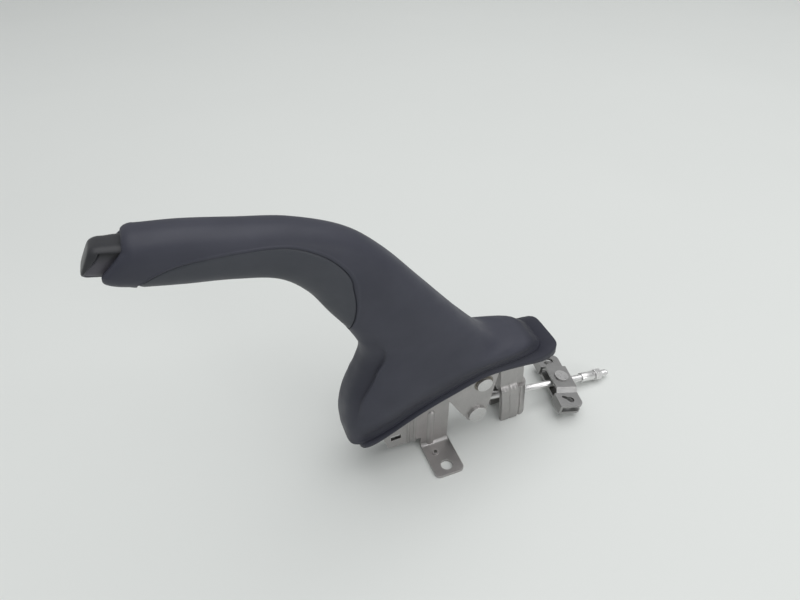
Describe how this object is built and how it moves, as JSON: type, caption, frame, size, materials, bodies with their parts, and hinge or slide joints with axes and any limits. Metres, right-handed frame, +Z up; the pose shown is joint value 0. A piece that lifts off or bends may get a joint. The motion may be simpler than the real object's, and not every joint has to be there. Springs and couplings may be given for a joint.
{
  "type": "parking brake lever",
  "caption": "Hand brake lever with a soft-touch handle and skirt, push-button ratchet release, folded steel floor bracket and a threaded pull rod that carries a cable equaliser.",
  "frame": {"origin": "midway between the two bolt holes of the front feet, on the floor plane", "axes": "+X towards the rear of the car, where the cables leave, +Y to the left, +Z up from the floor plane"},
  "size_m": [0.3551, 0.082, 0.2334],
  "materials": {
    "cover_plastic": "satin soft-touch plastic, charcoal",
    "inlay_plastic": "satin plastic inlay, charcoal",
    "button_plastic": "satin plastic, charcoal",
    "guide_plastic": "natural nylon",
    "zinc_sheet": "zinc-plated pressed sheet",
    "dark_steel": "dull plated steel",
    "bright_steel": "bright zinc-plated turned steel",
    "bush_brass": "plain bronze bush"
  },
  "bodies": {
    "base": {"bracket_near": "zinc_sheet", "bracket_far": "zinc_sheet", "front_web": "zinc_sheet", "rear_pedestal": "zinc_sheet", "sector": "dark_steel", "sector_rivet_a": "bright_steel", "sector_rivet_b": "bright_steel", "sleeve_a_near": "bright_steel", "sleeve_a_far": "bright_steel", "sleeve_b_near": "bright_steel", "sleeve_b_far": "bright_steel", "pivot_pin": "bright_steel", "pivot_sleeve_near": "bright_steel", "pivot_sleeve_far": "bright_steel"},
    "lever": {"bush_near": "bush_brass", "bush_far": "bush_brass", "cheek_near": "zinc_sheet", "cheek_far": "zinc_sheet", "cheek_spacer": "bright_steel", "lever_tube": "dark_steel", "handle_cover": "cover_plastic", "grip_inlay": "inlay_plastic", "guide_bush": "guide_plastic", "button_spring": "bright_steel", "pawl_pin": "bright_steel", "pull_pin": "bright_steel", "pull_sleeve_near": "bright_steel", "pull_sleeve_far": "bright_steel"},
    "button": {"push_button": "button_plastic", "release_rod": "bright_steel"},
    "pawl": {"pawl": "dark_steel"},
    "link": {"pull_rod": "bright_steel"},
    "trunnion": {"trunnion": "bright_steel"},
    "equaliser": {"equaliser": "dark_steel"},
    "sleeve": {"adjuster_sleeve": "bright_steel"},
    "nut": {"adjuster_nut": "bright_steel"}
  },
  "joints": [
    {"name": "lever_swing", "type": "hinge", "parent": "base", "child": "lever", "pos_m": [0.036, 0, 0.058], "axis": [0, 1, 0], "range_deg": [0, 33]},
    {"name": "button_press", "type": "slide", "parent": "lever", "child": "button", "axis": [0.9842, 0, -0.1771], "range_m": [0, 0.006], "stiffness_N_per_m": 900, "springref_m": -0.004, "deforming": ["button_spring"]},
    {"name": "pawl_lift", "type": "hinge", "parent": "lever", "child": "pawl", "pos_m": [-0.01457, 0, 0.08621], "axis": [0, 1, 0], "range_deg": [0, 15.5]},
    {"name": "rod_swing", "type": "hinge", "parent": "lever", "child": "link", "pos_m": [0.033, 0, 0.026], "axis": [0, 1, 0], "range_deg": [-33, 0]},
    {"name": "trunnion_slide", "type": "slide", "parent": "link", "child": "trunnion", "axis": [0.9869, 0, -0.1616], "range_m": [-0.0045, 0.008]},
    {"name": "equaliser_turn", "type": "hinge", "parent": "trunnion", "child": "equaliser", "pos_m": [0.11787, 0, 0.0121], "axis": [0.1616, 0, 0.9869], "range_deg": [-9, 31]},
    {"name": "nut_travel", "type": "slide", "parent": "link", "child": "sleeve", "axis": [0.9869, 0, -0.1616], "range_m": [-0.004, 0.004]},
    {"name": "nut_turn", "type": "hinge", "parent": "sleeve", "child": "nut", "pos_m": [0.15636, 0, 0.0058], "axis": [0.9869, 0, -0.1616], "range_deg": [-1440.5, 1440.5]}
  ],
  "couplings": [
    {"joint": "pawl_lift", "follows": "button_press", "rad_per_m": 44.4},
    {"joint": "rod_swing", "follows": "lever_swing", "ratio": -1},
    {"joint": "nut_turn", "follows": "nut_travel", "rad_per_m": 6283.2}
  ]
}
